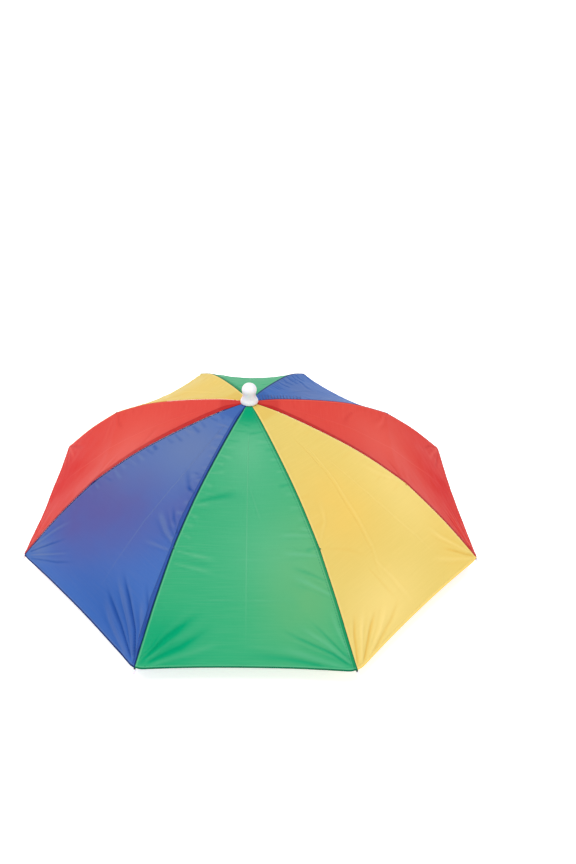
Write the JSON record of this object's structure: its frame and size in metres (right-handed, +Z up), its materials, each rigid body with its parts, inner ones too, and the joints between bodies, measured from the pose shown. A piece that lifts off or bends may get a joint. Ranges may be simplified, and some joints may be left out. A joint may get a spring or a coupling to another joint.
{
  "type": "umbrella hat",
  "caption": "Sun and rain hat shaped like a small umbrella: a nylon canopy on folding wire ribs, with plastic arms under it that carry an elastic headband.",
  "frame": {"origin": "on the surface that the hat stands on, under the middle of the hub", "axes": "+Z up along the hub, -Y out through the middle of the front green panel, +X out through the middle of a red panel"},
  "size_m": [0.5608, 0.5608, 0.2014],
  "materials": {
    "green_cloth": "thin woven nylon with a soft sheen",
    "yellow_cloth": "thin woven nylon with a soft sheen",
    "red_cloth": "thin woven nylon with a soft sheen",
    "blue_cloth": "thin woven nylon with a soft sheen",
    "black_steel": "black lacquered steel wire",
    "white_plastic": "moulded white plastic",
    "milky_plastic": "moulded milky plastic that lets some light through",
    "black_cloth": "thin crumpled woven cloth",
    "black_elastic": "ribbed woven elastic"
  },
  "bodies": {
    "root": {"panel_1": "green_cloth", "panel_2": "yellow_cloth", "panel_3": "red_cloth", "panel_4": "blue_cloth", "panel_5": "green_cloth", "panel_6": "yellow_cloth", "panel_7": "red_cloth", "panel_8": "blue_cloth", "inner_rib_1": "black_steel", "inner_rib_2": "black_steel", "inner_rib_3": "black_steel", "inner_rib_4": "black_steel", "inner_rib_5": "black_steel", "inner_rib_6": "black_steel", "inner_rib_7": "black_steel", "inner_rib_8": "black_steel", "outer_rib_1": "black_steel", "outer_rib_2": "black_steel", "outer_rib_3": "black_steel", "outer_rib_4": "black_steel", "outer_rib_5": "black_steel", "outer_rib_6": "black_steel", "outer_rib_7": "black_steel", "outer_rib_8": "black_steel", "fold_joint_1": "black_steel", "fold_joint_2": "black_steel", "fold_joint_3": "black_steel", "fold_joint_4": "black_steel", "fold_joint_5": "black_steel", "fold_joint_6": "black_steel", "fold_joint_7": "black_steel", "fold_joint_8": "black_steel", "stretcher_1": "black_steel", "stretcher_2": "black_steel", "stretcher_3": "black_steel", "stretcher_4": "black_steel", "stretcher_5": "black_steel", "stretcher_6": "black_steel", "stretcher_7": "black_steel", "stretcher_8": "black_steel", "rib_tip_1": "white_plastic", "rib_tip_2": "white_plastic", "rib_tip_3": "white_plastic", "rib_tip_4": "white_plastic", "rib_tip_5": "white_plastic", "rib_tip_6": "white_plastic", "rib_tip_7": "white_plastic", "rib_tip_8": "white_plastic", "finial": "white_plastic", "hub": "milky_plastic", "runner": "milky_plastic", "ruff": "black_cloth", "headband": "black_elastic", "strap_arm_1": "milky_plastic", "strap_arm_2": "milky_plastic", "strap_arm_3": "milky_plastic", "strap_arm_4": "milky_plastic"}
  },
  "joints": []
}
